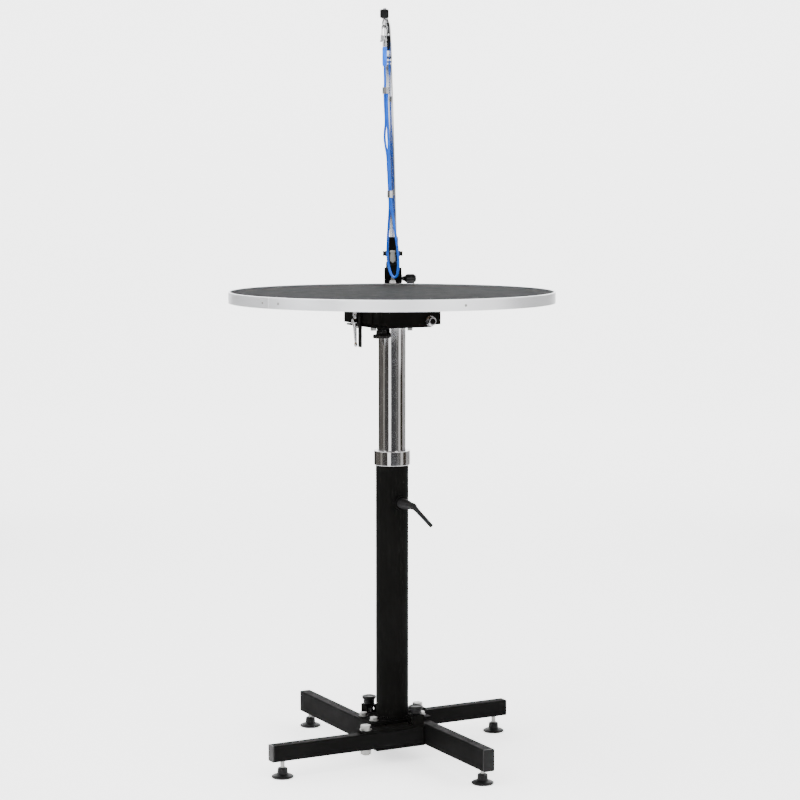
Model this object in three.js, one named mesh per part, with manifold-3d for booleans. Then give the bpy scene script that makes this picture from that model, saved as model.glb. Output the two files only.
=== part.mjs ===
// Round show grooming table: four-legged folding base, telescopic column, swivelling and tilting head,
// round rubber-topped table and a clamp-on arm with a cord noose.
// Millimetres, +Z up. Origin: on the floor, on the axis of the column. The fixed legs run along Y,
// the folding legs run along X. Names ending in a, b, c, d follow the four legs round the base:
// a = folding leg towards -X, b = fixed leg towards +Y, c = folding leg towards +X, d = fixed leg towards -Y.
import * as THREE from "three";
import { mergeVertices } from "three/addons/utils/BufferGeometryUtils.js";
import Module from "manifold-3d";

const wasm = await Module();
wasm.setup();

// ---------------------------------------------------------------- driving dimensions
const GAP = 0.3; // clearance between touching pieces
// table top
const TABLE_R = 300, TABLE_TOP = 866.6, BAND_H = 20.4, BAND_T = 1.6, LIP = 3.5;
const MAT_T = 3.2;
// base
const LEG_W = 22, FOLD_LEG_H = 30, FIX_LEG_H = 40, LEG_WALL = 2;
const FIX_Z = 27, FOLD_Z = 31.5; // undersides of the fixed and the folding legs
const FIX_OFF = 45.5, FOLD_OFF = 56; // distance of a leg's centre line from the column axis
const FIX_LEN = 280, FOLD_LEN = 272; // reach of a leg's end from the column axis
const FOOT_IN = 20; // foot centre, in from the end of its leg
const PIVOT_U = 84; // fold pivot of a folding leg, out from the column axis
const PLUNGER_U = 20; // index plunger that locks a folding leg
const PLATE_T = 5;
// column
const OUTER_R = 30.15, OUTER_WALL = 2.5, OUTER_TOP = 570;
const INNER_R = 25.4, INNER_WALL = 2, INNER_TOP = 806.2, INNER_BOTTOM = 370;
const COLLAR_R = 33.7, COLLAR_H = 27;
const CLAMP_Z = 478.3;
// head
const HEAD_Z = 803.2, HEAD_T = 3;
const FRAME_U = 62.5, FRAME_V = 76, FRAME_LOW = 808;
const TILT_U = 38.5, TILT_Z = 814.6;
const INDEX_R = 45, INDEX_X = -36, INDEX_Y = -27;
// arm
const ARM_AZ = 62, ARM_TWIST = -0.9; // where the arm is clamped on the rim, and how far its bar is turned, degrees
const POST = 14, POST_WALL = 1.5, POST_Y = 324.5, POST_BOTTOM = 800;
const BEND_R = 80, BAR_Z = 1375, BAR_END_Y = 77;
const LEAN_Z = 976, LEAN = 1.55; // above this height the post leans sideways by this many degrees
const CORD_D = 4.6;

// ---------------------------------------------------------------- colours
const mat = (color, roughness, metalness) => new THREE.MeshStandardMaterial({ color, roughness, metalness });
const BLACK_PAINT = [0x1b1b1a, 0.45, 0.3];
const CHROME = [0xd5d7da, 0.12, 1.0];
const ZINC = [0xbfc1c3, 0.38, 1.0];
const PLASTIC = [0x262627, 0.5, 0.0];
const RUBBER = [0x5b5c5e, 0.9, 0.0];
const BLUE = [0x2f66c4, 0.75, 0.0];
const ALU = [0xc9cacc, 0.3, 1.0];
const NYLON = [0xe2e0d8, 0.6, 0.0];

// ---------------------------------------------------------------- solids
function clean(g) {
  g = g.index ? g.toNonIndexed() : g.clone();
  for (const k of Object.keys(g.attributes)) if (k !== "position") g.deleteAttribute(k);
  return mergeVertices(g, 1e-3);
}
function solid(g) {
  const m = clean(g);
  return new wasm.Manifold(new wasm.Mesh({
    numProp: 3,
    vertProperties: new Float32Array(m.attributes.position.array),
    triVerts: new Uint32Array(m.index.array),
  }));
}
function geometry(s) {
  const m = s.getMesh();
  const p = new Float32Array(m.numVert * 3);
  for (let i = 0; i < m.numVert; i++) for (let k = 0; k < 3; k++) p[3 * i + k] = m.vertProperties[i * m.numProp + k];
  return new THREE.BufferGeometry()
    .setAttribute("position", new THREE.BufferAttribute(p, 3))
    .setIndex(new THREE.BufferAttribute(new Uint32Array(m.triVerts), 1));
}
const add = (...gs) => geometry(gs.map(solid).reduce((a, b) => a.add(b)));
const cut = (g, ...gs) => geometry(gs.map(solid).reduce((a, b) => a.subtract(b), solid(g)));
const at = (g, x, y, z) => g.translate(x, y, z);

// a box given by its corners
function box(x0, x1, y0, y1, z0, z1) {
  return at(new THREE.BoxGeometry(x1 - x0, y1 - y0, z1 - z0), (x0 + x1) / 2, (y0 + y1) / 2, (z0 + z1) / 2);
}
// a solid of revolution about Z from [radius, height] pairs, closed on the axis or on itself
function turn(profile, seg = 24) {
  const pts = profile.map(([r, z]) => new THREE.Vector2(r, z));
  const onAxis = pts[0].x === 0 && pts[pts.length - 1].x === 0;
  if (!onAxis) pts.push(pts[0].clone());
  const g = new THREE.LatheGeometry(pts, seg).rotateX(Math.PI / 2);
  return facingOut(g);
}
// turns the faces of a closed geometry outwards
function facingOut(g) {
  let m = clean(g);
  const p = m.attributes.position, ix = m.index.array;
  let vol = 0;
  const a = new THREE.Vector3(), b = new THREE.Vector3(), c = new THREE.Vector3();
  const kept = [];
  for (let i = 0; i < ix.length; i += 3) {
    if (ix[i] === ix[i + 1] || ix[i + 1] === ix[i + 2] || ix[i] === ix[i + 2]) continue;
    kept.push(ix[i], ix[i + 1], ix[i + 2]);
    a.fromBufferAttribute(p, ix[i]); b.fromBufferAttribute(p, ix[i + 1]); c.fromBufferAttribute(p, ix[i + 2]);
    vol += a.dot(b.cross(c)) / 6;
  }
  if (vol < 0) for (let i = 0; i < kept.length; i += 3) [kept[i + 1], kept[i + 2]] = [kept[i + 2], kept[i + 1]];
  return new THREE.BufferGeometry().setAttribute("position", p).setIndex(kept);
}
const rod = (r, z0, z1, seg = 20) => turn([[0, z0], [r, z0], [r, z1], [0, z1]], seg);
const ring = (r0, r1, z0, z1, seg = 24) => turn([[r0, z0], [r1, z0], [r1, z1], [r0, z1]], seg);
// a hexagonal prism, width across flats af
function hex(af, z0, z1, turned = 0) {
  return rod(af / Math.sqrt(3), z0, z1, 6).rotateZ(turned);
}
// an extruded outline of [x, y] pairs with round holes [x, y, r]
function slab(outline, z0, z1, holes = [], seg = 16) {
  const s = new THREE.Shape(outline.map(([x, y]) => new THREE.Vector2(x, y)));
  for (const [x, y, r] of holes) {
    const h = new THREE.Path();
    h.absarc(x, y, r, 0, Math.PI * 2, true);
    s.holes.push(h);
  }
  return at(facingOut(new THREE.ExtrudeGeometry(s, { depth: z1 - z0, bevelEnabled: false, curveSegments: seg })), 0, 0, z0);
}
// a rectangle outline with chamfered corners
function rect(x0, x1, y0, y1, c = 0) {
  if (!c) return [[x0, y0], [x1, y0], [x1, y1], [x0, y1]];
  const k = c * 0.29;
  return [[x0 + c, y0], [x1 - c, y0], [x1 - k, y0 + k], [x1, y0 + c], [x1, y1 - c], [x1 - k, y1 - k],
    [x1 - c, y1], [x0 + c, y1], [x0 + k, y1 - k], [x0, y1 - c], [x0, y0 + c], [x0 + k, y0 + k]];
}
// a tube or bar of the section outline swept along points
function sweep(outline, points, steps) {
  const curve = new THREE.CatmullRomCurve3(points.map((p) => new THREE.Vector3(...p)), false, "centripetal");
  const s = new THREE.Shape(outline.map(([x, y]) => new THREE.Vector2(x, y)));
  return facingOut(new THREE.ExtrudeGeometry(s, { steps, bevelEnabled: false, extrudePath: curve }));
}
const circle = (r, n) => Array.from({ length: n }, (_, i) => [r * Math.cos((2 * Math.PI * i) / n), r * Math.sin((2 * Math.PI * i) / n)]);
const alongX = (g) => g.rotateY(Math.PI / 2); // local Z becomes X
const alongMinusY = (g) => g.rotateX(Math.PI / 2); // local Z becomes -Y

const root = new THREE.Group();
function mesh(name, g, look, parent = root) {
  const geo = g.index ? g.toNonIndexed() : g;
  geo.computeVertexNormals();
  const m = new THREE.Mesh(geo, mat(...look));
  m.name = name;
  parent.add(m);
  return m;
}
const half = Math.PI; // the base repeats after half a turn

// ---------------------------------------------------------------- base: fixed legs b and d
const foldTop = FOLD_Z + FOLD_LEG_H, fixTop = FIX_Z + FIX_LEG_H;
const LEG_PLATE_0 = foldTop + GAP, LEG_PLATE_1 = fixTop; // plate over the folding legs, level with the fixed legs
const COL_PLATE_0 = fixTop + GAP, COL_PLATE_1 = COL_PLATE_0 + PLATE_T;
const INNER_END = 43; // inner ends of the fixed legs, past the column axis

const BOLTS = [[-49.5, 21], [-49.5, -21], [49.5, -21], [49.5, 21]];

// a rectangular tube along +X from x0 to x1 about y, z0..z1; the far end is open for its cap
function legTube(x0, x1, z0, z1, w) {
  const inner = box(x0 + LEG_WALL, x1 + 1, -w / 2 + LEG_WALL, w / 2 - LEG_WALL, z0 + LEG_WALL, z1 - LEG_WALL);
  return cut(add(slabX(rect(-w / 2, w / 2, z0, z1, 2), x0, x1)), inner);
}
// an outline in the Y-Z plane extruded along X
function slabX(outline, x0, x1) {
  const g = slab(outline, x0, x1);
  // outline's x to Y, its y to Z, the depth to X
  const p = g.attributes.position;
  for (let i = 0; i < p.count; i++) p.setXYZ(i, p.getZ(i), p.getX(i), p.getY(i));
  return facingOut(g);
}
// an outline in the X-Z plane extruded along Y
function slabY(outline, y0, y1) {
  const g = slab(outline, y0, y1);
  const p = g.attributes.position;
  for (let i = 0; i < p.count; i++) p.setXYZ(i, p.getX(i), p.getZ(i), p.getY(i));
  return facingOut(g);
}

function fixedLeg() {
  // along +X here, turned into place afterwards
  let g = legTube(-INNER_END, FIX_LEN, FIX_Z, fixTop, LEG_W);
  const fx = FIX_LEN - FOOT_IN;
  g = cut(g, rod(4.6, FIX_Z - 1, FIX_Z + 6, 12).translate(fx, 0, 0),
    rod(4.4, fixTop - 5, fixTop + 1, 12).translate(21, 4, 0), rod(4.4, fixTop - 5, fixTop + 1, 12).translate(-21, 4, 0));
  return g;
}
function legCap(z0, z1, x1) {
  const w = LEG_W / 2 - LEG_WALL - GAP;
  return add(slabX(rect(-LEG_W / 2, LEG_W / 2, z0, z1, 2), x1 + GAP, x1 + 2.8),
    box(x1 - 12, x1 + 1, -w, w, z0 + LEG_WALL + GAP, z1 - LEG_WALL - GAP));
}
const legGroups = {};
for (const [name, turn90] of [["b", 1], ["d", -1]]) {
  // centre line at x = -FIX_OFF for b and +FIX_OFF for d
  const grp = new THREE.Group();
  grp.rotation.z = (turn90 * Math.PI) / 2;
  grp.position.set(-turn90 * FIX_OFF, 0, 0);
  root.add(grp);
  legGroups[name] = grp;
  mesh(name === "b" ? "fixed_leg_b" : "fixed_leg_d", fixedLeg(), BLACK_PAINT, grp);
  mesh("leg_cap_" + name, legCap(FIX_Z, fixTop, FIX_LEN), PLASTIC, grp);
}

// ---------------------------------------------------------------- base: folding legs a and c
function foldingLeg() {
  // leg c: along +X, centre line at y = FOLD_OFF, inner end past the plunger
  let g = legTube(-31, FOLD_LEN, FOLD_Z, foldTop, LEG_W);
  g = cut(g, rod(4.6, FOLD_Z - 1, FOLD_Z + 6, 12).translate(FOLD_LEN - FOOT_IN, 0, 0),
    rod(6.4, FOLD_Z - 1, foldTop + 1, 16).translate(PIVOT_U, 0, 0),
    rod(3.6, foldTop - 5, foldTop + 1, 14).translate(-PLUNGER_U, 0, 0));
  return g;
}
for (const name of ["c", "a"]) {
  const grp = new THREE.Group();
  grp.rotation.z = name === "a" ? half : 0;
  const inner = new THREE.Group();
  inner.position.set(0, FOLD_OFF, 0);
  grp.add(inner);
  root.add(grp);
  legGroups[name] = inner;
  mesh("folding_leg_" + name, foldingLeg(), BLACK_PAINT, inner);
  mesh("leg_cap_" + name, legCap(FOLD_Z, foldTop, FOLD_LEN), PLASTIC, inner);
}

// ---------------------------------------------------------------- levelling feet: a pad moulded on a threaded stud
function foot(top) {
  return turn([[0, 0], [18.5, 0], [20, 1.2], [20, 3], [17.5, 4.6], [11.5, 6.6], [9.6, 7.6], [8.9, 17], [7.6, 18.2],
    [4, 18.2], [4, top + 18], [0, top + 18]], 24);
}
for (const n of ["a", "c"]) mesh("levelling_foot_" + n, at(foot(FOLD_Z), FOLD_LEN - FOOT_IN, 0, 0), PLASTIC, legGroups[n]);
for (const n of ["b", "d"]) mesh("levelling_foot_" + n, at(foot(FIX_Z), FIX_LEN - FOOT_IN, 0, 0), PLASTIC, legGroups[n]);

// ---------------------------------------------------------------- base plates
const IN = FIX_OFF - LEG_W / 2 - 1.2; // half width of the plates between the fixed legs
const FO = FOLD_OFF + LEG_W / 2, FI = 44.2; // outer edge, and inner edge of the arms over the folding legs
function zPlate(reach) {
  return [[-reach, -FO], [IN, -FO], [IN, FI], [reach, FI], [reach, FO], [-IN, FO], [-IN, -FI], [-reach, -FI]];
}
mesh("leg_plate", slab(zPlate(95), LEG_PLATE_0, LEG_PLATE_1,
  [[-PIVOT_U, -FOLD_OFF, 6.4], [PIVOT_U, FOLD_OFF, 6.4], [PLUNGER_U, -FOLD_OFF, 3.5], [-PLUNGER_U, FOLD_OFF, 3.5]]), BLACK_PAINT);
mesh("bottom_plate", slab(zPlate(66), FIX_Z + 0.2, FOLD_Z - GAP), BLACK_PAINT);
mesh("column_plate", slab(rect(-63, 63, -38, 38, 3), COL_PLATE_0, COL_PLATE_1, BOLTS.map(([x, y]) => [x, y, 4.4])), BLACK_PAINT);

// hexagon flange bolts through the column plate into the fixed legs
BOLTS.forEach(([x, y], i) => {
  const z = COL_PLATE_1 + GAP;
  mesh("plate_bolt_" + (i + 1), at(add(rod(8.5, z, z + 1.6, 16), hex(13, z + 1, z + 7, 0.4 * i), rod(4, z - 14, z + 1.2, 12)), x, y, 0), ZINC);
});

// fold pivots: bolt head and washer above the leg plate, locknut below the leg
function pivotBolt() {
  const top = LEG_PLATE_1 + GAP;
  return add(rod(11, top, top + 1.8, 20), hex(17, top + 1, top + 9, 0.3), rod(6, FOLD_Z - 2, top + 2, 16),
    rod(10.5, FOLD_Z - GAP - 1.6, FOLD_Z - GAP, 20), hex(17, FOLD_Z - 9.5, FOLD_Z - 1, 0.1), rod(6, FOLD_Z - 11, FOLD_Z - 8, 16));
}
const pivots = { c: [PIVOT_U, FOLD_OFF], a: [-PIVOT_U, -FOLD_OFF] };
for (const n of ["a", "c"]) mesh("leg_pivot_bolt_" + n, at(pivotBolt(), ...pivots[n], 0), ZINC);

// ---------------------------------------------------------------- index plungers that lock the folding legs
const BR_TOP = 85, BR_T = 3;
function plungerBracket() {
  // local: plunger axis at the origin, outer side towards -Y, end wall towards +X
  const z0 = LEG_PLATE_1 + GAP;
  return cut(add(box(-11.3, 11, -11, -11 + BR_T, z0, BR_TOP), box(11 - BR_T, 11, -11, 10.5, z0, BR_TOP),
    box(-11.3, -11.3 + BR_T, -11, 10.5, z0, BR_TOP), box(-11.3, 11, -11, 10.5, BR_TOP - BR_T, BR_TOP)),
    rod(3.6, BR_TOP - 8, BR_TOP + 2, 16), alongX(rod(4.4, -14, -5, 12)).translate(0, 0, 75.4));
}
function plungerPin(tip, z1) {
  return turn([[0, tip], [2.4, tip], [3, tip + 1.4], [3, 67.8], [5.6, 67.8], [5.6, 69.6], [3, 69.6], [3, z1], [0, z1]], 16);
}
function plungerKnob() {
  return turn([[3.3, 85.6], [4.6, 85.6], [8.8, 91.2], [10, 92.6], [10.3, 94.6], [12.4, 95.8], [13, 97], [13, 99.8], [12.2, 101],
    [10.4, 101], [9.4, 99.8], [0, 99.2], [0, 97], [3.3, 97]], 24);
}
function helix(r, z0, z1, wire, turns) {
  const pts = [];
  const n = turns * 10;
  for (let i = 0; i <= n; i++) {
    const a = (2 * Math.PI * i) / 10;
    pts.push([r * Math.cos(a), r * Math.sin(a), z0 + wire + ((z1 - z0 - 2 * wire) * i) / n]);
  }
  return sweep(circle(wire, 5), pts, n);
}
for (const n of ["a", "c"]) {
  const g = new THREE.Group();
  g.rotation.z = n === "a" ? 0 : half;
  const inner = new THREE.Group();
  inner.position.set(PLUNGER_U, -FOLD_OFF, 0);
  g.add(inner);
  root.add(g);
  mesh("plunger_bracket_" + n, plungerBracket(), BLACK_PAINT, inner);
  mesh("plunger_pin_" + n, plungerPin(foldTop + GAP, 96.6), ZINC, inner);
  mesh("plunger_knob_" + n, plungerKnob(), PLASTIC, inner);
  mesh("plunger_spring_" + n, helix(4.6, 70, 81.6, 0.55, 4), ZINC, inner);
}

// ---------------------------------------------------------------- column
{
  const tube = ring(OUTER_R - OUTER_WALL, OUTER_R, COL_PLATE_1 + GAP, OUTER_TOP, 40);
  const boss = alongMinusY(turn([[0, 25], [12, 25], [12, 37], [11, 38], [0, 38]], 20)).translate(0, 0, CLAMP_Z);
  const clear = rod(OUTER_R - OUTER_WALL, CLAMP_Z - 30, CLAMP_Z + 30, 40);
  const bore = alongMinusY(rod(4.3, 20, 40, 16)).translate(0, 0, CLAMP_Z);
  mesh("outer_column", cut(add(tube, cut(boss, clear)), bore), BLACK_PAINT);
}
mesh("column_collar", turn([[OUTER_R + GAP, OUTER_TOP + 3 - COLLAR_H], [COLLAR_R, OUTER_TOP + 3 - COLLAR_H], [COLLAR_R, OUTER_TOP + 2],
  [COLLAR_R - 1, OUTER_TOP + 3], [INNER_R + 0.5, OUTER_TOP + 3], [INNER_R + 0.5, OUTER_TOP + 0.6], [OUTER_R + GAP, OUTER_TOP + 0.6]], 40), CHROME);
mesh("guide_bush", ring(INNER_R + 0.3, OUTER_R - OUTER_WALL - 0.3, 505, OUTER_TOP + 0.3, 40), NYLON);
// sliding tube with the thrust ring that carries the head welded round its top
mesh("inner_column", add(ring(INNER_R - INNER_WALL, INNER_R, INNER_BOTTOM, INNER_TOP, 40),
  turn([[INNER_R - 1, 799.6], [27, 799.6], [28.6, 801], [28.6, HEAD_Z - GAP], [INNER_R - 1, HEAD_Z - GAP]], 40)), CHROME);

// clamping lever on the column: threaded stud, tapered hub and inclined handle
{
  const hub = alongMinusY(turn([[0, 26.1], [4, 26.1], [4, 38.4], [9.5, 38.4], [9.5, 52], [8.6, 60], [6.6, 72], [6.2, 84], [4.8, 88.5], [0, 90]], 20));
  const a = new THREE.Vector3(0, -84, 0), b = new THREE.Vector3(30, -99, -37);
  const dir = b.clone().sub(a), L = dir.length();
  const handle = turn([[0, -4.4], [3.2, -4.4], [4.9, -2], [4.9, 2], [4.1, 12], [3.6, L - 1.2], [2.6, L], [0, L]], 16);
  handle.applyMatrix4(new THREE.Matrix4().compose(a, new THREE.Quaternion().setFromUnitVectors(new THREE.Vector3(0, 0, 1), dir.normalize()), new THREE.Vector3(1, 1, 1)));
  mesh("clamp_lever", at(add(hub, facingOut(handle)), 0, 0, CLAMP_Z), PLASTIC);
}

// ---------------------------------------------------------------- head: everything that swivels on the column
{
  const holes = [];
  const a0 = Math.atan2(INDEX_Y, INDEX_X);
  let disc = turn([[0, 790], [INNER_R - INNER_WALL - GAP, 790], [INNER_R - INNER_WALL - GAP, INNER_TOP + GAP], [52, INNER_TOP + GAP], [52, INNER_TOP + 3.1], [14, INNER_TOP + 3.1],
    [14, INNER_TOP + 7], [8, INNER_TOP + 7], [8, INNER_TOP + 13], [0, INNER_TOP + 13]], 40);
  for (let i = 0; i < 8; i++) {
    const a = a0 + (i * Math.PI) / 4;
    holes.push(rod(4.4, INNER_TOP - 2, INNER_TOP + 8, 12).translate(INDEX_R * Math.cos(a), INDEX_R * Math.sin(a), 0));
  }
  mesh("index_disc", cut(disc, ...holes), ZINC);
}
{
  const z1 = HEAD_Z + HEAD_T;
  const plate = slab(rect(-62, 44, -72.7, 63.7, 1.5), HEAD_Z, z1);
  const cheek = [[-50, z1 - 1], [44, z1 - 1], [48.4, 810], [48.4, 818], [45, 824], [38, 827], [-44, 827], [-50, 821]];
  const boss = rod(8.5, HEAD_Z - 5.4, HEAD_Z + 1, 18).translate(INDEX_X, INDEX_Y, 0);
  // clinched nuts on the underside
  const nuts = [[-56, -34], [7, -57], [-50, 44], [30, 44]].map(([x, y], i) => hex(9, HEAD_Z - 5.6, HEAD_Z + 1, 0.3 + 0.35 * i).translate(x, y, 0));
  mesh("swivel_head", cut(add(plate, slabY(cheek, -72.7, -69.7), slabY(cheek, 60.7, 63.7), boss, ...nuts),
    rod(INNER_R + 0.5, HEAD_Z - 8, z1 + 2, 32), rod(3.9, HEAD_Z - 8, z1 + 2, 14).translate(INDEX_X, INDEX_Y, 0),
    alongMinusY(rod(5.4, -90, 90, 14)).translate(TILT_U, 0, TILT_Z)), BLACK_PAINT);
}
mesh("head_plunger_pin", at(turn([[0, 787], [3.5, 787], [3.5, INNER_TOP - 1], [2.9, INNER_TOP], [0, INNER_TOP]], 14), INDEX_X, INDEX_Y, 0), ZINC);
mesh("head_plunger_knob", at(turn([[0, 782.4], [14.6, 782.4], [15.7, 783.4], [15.7, 788.6], [14.6, 789.6], [9.6, 789.9], [9.3, 796.4], [8.5, 797.3],
  [3.8, 797.3], [3.8, 786.7], [0, 786.7]], 24), INDEX_X, INDEX_Y, 0), PLASTIC);

// ---------------------------------------------------------------- tilting frame and its pivot
{
  const top = TABLE_TOP - BAND_H - GAP, web = top - 4, t = 3, u = FRAME_U, v = FRAME_V;
  const lug = (y0) => slabY([[-68.6, 822], [-66, 819.6], [-u + 1, 819.6], [-u + 1, 832], [-66, 832], [-68.6, 829.6]], y0, y0 + 3);
  let g = cut(slab(rect(-u, u, -v, v, 5), FRAME_LOW, top), box(-u + t, u + 1, -v + t, v - t, FRAME_LOW - 1, web));
  g = add(g, lug(-6.5), lug(6.1), box(-u - 2, -u + 1, -44, -9, 809, 829));
  g = cut(g, alongMinusY(rod(5.4, -90, 90, 14)).translate(TILT_U, 0, TILT_Z),
    alongMinusY(rod(2.2, -30, 10, 12)).translate(-65.2, 0, 826),
    alongX(rod(2.9, -70, -55, 12)).translate(0, 20, 823));
  mesh("top_frame", g, BLACK_PAINT);
}
// tilt pivot: bolt head at the back, washer and locknut at the front
mesh("tilt_bolt", alongMinusY(add(rod(5, -84, 87.4, 16), hex(16, -84, -76.3, 0.2))).translate(TILT_U, 0, TILT_Z), BLACK_PAINT);
mesh("tilt_nut", alongMinusY(cut(add(rod(10, 76.3, 78.2, 20), hex(16, 77.5, 83, 0.1), turn([[0, 82.5], [8.4, 82.5], [7.4, 86], [0, 86]], 16)), rod(5.3, 70, 90, 16))).translate(TILT_U, 0, TILT_Z), CHROME);
// latch bar: hangs outside the frame's end wall; its peg hooks under the swivel head
mesh("latch_bar", add(slabY([[-67, 766.6], [-66.2, 765.5], [-64.2, 765.5], [-63.4, 766.6], [-63.4, 826.6], [-64.2, 827.5], [-66.2, 827.5], [-67, 826.6]], -3, 5.5),
  box(-64, -62.3, -1.5, 4, 799.4, HEAD_Z - 0.5), alongMinusY(rod(1.8, -9.9, 7.3, 12)).translate(-65.2, 0, 826)), BLACK_PAINT);
// latch lever beside it: a tapered handle below a fork, turning on a stud in the frame's end wall
{
  const a = new THREE.Vector3(-67.7, 18.4, 812), b = new THREE.Vector3(-67.9, 13.4, 769);
  const dir = b.clone().sub(a), L = dir.length();
  const handle = turn([[0, -4], [3.4, -3], [4.6, 0], [4.3, 4], [3.5, 10], [2.3, L - 5], [3.3, L - 1.5], [3.2, L + 1.5], [1.8, L + 3.4], [0, L + 3.8]], 16);
  handle.applyMatrix4(new THREE.Matrix4().compose(a, new THREE.Quaternion().setFromUnitVectors(new THREE.Vector3(0, 0, 1), dir.normalize()), new THREE.Vector3(1, 1, 1)));
  mesh("latch_lever", add(slabX([[12.6, 829], [13.6, 830], [26.6, 830], [27.6, 829], [22, 810], [15.4, 810]], -66.6, -63),
    alongX(rod(5.2, -72, -66, 18)).translate(0, 18.4, 811.5), alongX(rod(2.6, -69, -56.6, 12)).translate(0, 20, 823), facingOut(handle)), ZINC);
}

// ---------------------------------------------------------------- table top
const bandLow = TABLE_TOP - BAND_H, wallIn = TABLE_R - BAND_T;
mesh("table_board", rod(wallIn - GAP, bandLow + 0.4, TABLE_TOP - 1.5 - MAT_T - GAP, 96), [0x8a6a48, 0.7, 0]);
mesh("table_mat", rod(wallIn - GAP, TABLE_TOP - 1.5 - MAT_T, TABLE_TOP - 1.5, 96), RUBBER);
mesh("edge_band", turn([[TABLE_R, bandLow], [TABLE_R, TABLE_TOP - 0.4], [TABLE_R - 0.4, TABLE_TOP], [TABLE_R - LIP, TABLE_TOP],
  [TABLE_R - LIP, TABLE_TOP - 1.2], [wallIn, TABLE_TOP - 1.2], [wallIn, bandLow]], 96), ALU);

// ---------------------------------------------------------------- arm, in a frame whose +Y points out through the clamp
const armGroup = new THREE.Group();
armGroup.rotation.z = THREE.MathUtils.degToRad(ARM_AZ - 90);
const arm = new THREE.Group(); // turned a little about the rim
arm.position.set(0, TABLE_R, 0);
arm.rotation.z = THREE.MathUtils.degToRad(ARM_TWIST);
armGroup.add(arm);
root.add(armGroup);
const Y0 = TABLE_R; // arm-local y = radial distance - Y0
const SCREW_Y = 278.4 - Y0, MAT_TOP = TABLE_TOP - 1.5;
{
  const py = POST_Y - Y0;
  const wide = slabX([[-38, 836], [-32, 830], [15, 830], [15, 897], [-2, 897], [-6, 890], [1.2, 884], [1.2, 845.6], [-38, 845.6]], -17, 17);
  const jaw = slabX([[-30, 881], [8, 881], [15, 888], [15, 909], [-24, 909], [-30, 903]], -13.2, 13.2);
  const stop = alongX(rod(4.4, -12.6, -8, 14)).translate(0, py, 943); // grub screw boss in the socket's side
  const socket = slab(rect(-9.6, 9.6, py - 9.6, py + 9.6, 2), 830, 957);
  const knobBoss = alongX(rod(8, 8, 17.6, 18)).translate(0, py, 875);
  mesh("arm_clamp", cut(add(wide, jaw, socket, knobBoss, stop), box(-POST / 2 - 0.4, POST / 2 + 0.4, py - POST / 2 - 0.4, py + POST / 2 + 0.4, 820, 970),
    rod(3.7, 860, 920, 16).translate(0, SCREW_Y, 0), alongX(rod(3.4, 7, 20, 14)).translate(0, py, 875)), BLACK_PAINT, arm);
}
mesh("clamp_foot", at(turn([[0, MAT_TOP + GAP], [17.3, MAT_TOP + GAP], [17.3, MAT_TOP + 1.6], [12, MAT_TOP + 2.2], [7, MAT_TOP + 3], [5.2, MAT_TOP + 8.5], [4, MAT_TOP + 8.5],
  [4, MAT_TOP + 3.6], [0, MAT_TOP + 3.6]], 24), 0, SCREW_Y, 0), ZINC, arm);
mesh("clamp_spindle", at(cut(turn([[0, MAT_TOP + 4], [2.6, MAT_TOP + 4], [3.3, MAT_TOP + 5.6], [3.3, 911], [5.4, 911], [5.4, 930.4], [4.4, 931.6], [0, 931.6]], 18),
  alongX(rod(2.9, -8, 8, 14)).translate(0, 0, 926)), 0, SCREW_Y, 0), ZINC, arm);
mesh("tommy_bar", at(alongX(turn([[0, -19.2], [4.4, -19.2], [5.2, -18.4], [5.2, -17], [4.2, -16.6], [4.2, -15.4], [5.3, -15], [5.3, -11.2], [2.6, -11.2],
  [2.6, 11.2], [5.3, 11.2], [5.3, 15], [4.2, 15.4], [4.2, 16.6], [5.2, 17], [5.2, 18.4], [4.4, 19.2], [0, 19.2]], 16)), 0, SCREW_Y, 926), PLASTIC, arm);
// star knob that pinches the post: five lobes on a threaded stud
{
  const lobes = [];
  const n = 5, seg = 6;
  for (let i = 0; i < n; i++) for (let k = 0; k < seg; k++) {
    const a = (2 * Math.PI * (i + k / seg)) / n;
    lobes.push([(8.9 + 1.7 * Math.cos(n * a)) * Math.cos(a), (8.9 + 1.7 * Math.cos(n * a)) * Math.sin(a)]);
  }
  const g = add(slab(lobes, 26.6, 41.6), turn([[0, 7.8], [3, 7.8], [3, 18.4], [5.4, 18.4], [4.6, 21.4], [7.6, 25], [8.6, 27], [0, 27]], 16), turn([[0, 40.6], [8, 40.6], [7, 43.8], [4.4, 45.4], [0, 45.6]], 16));
  mesh("arm_star_knob", alongX(g).translate(0, POST_Y - Y0, 875), PLASTIC, arm);
}

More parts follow.
